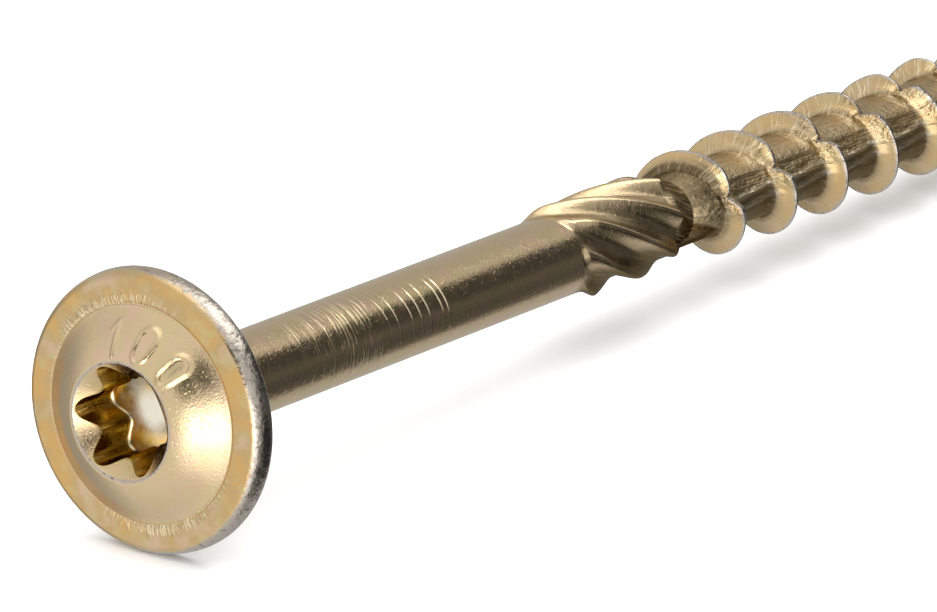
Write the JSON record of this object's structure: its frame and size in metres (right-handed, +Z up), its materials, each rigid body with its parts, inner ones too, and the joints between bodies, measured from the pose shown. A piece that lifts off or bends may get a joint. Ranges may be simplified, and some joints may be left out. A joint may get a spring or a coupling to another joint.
{
  "type": "washer head timber screw",
  "caption": "Plated timber screw with a wide disc head, raised dome, lobed drive recess, plain shank, ribbed shank cutter and coarse single-start thread.",
  "frame": {"origin": "centre of the bounding box at the ground the screw lies on", "axes": "+X from the head towards the tip, +Z up; the screw axis dips towards the tip by about two and a half degrees because the head is wider than the thread"},
  "size_m": [0.103, 0.014, 0.014],
  "materials": {
    "plated_steel": "yellow zinc plating, satin, with brighter worn edges"
  },
  "bodies": {
    "root": {"screw": "plated_steel"}
  },
  "joints": []
}
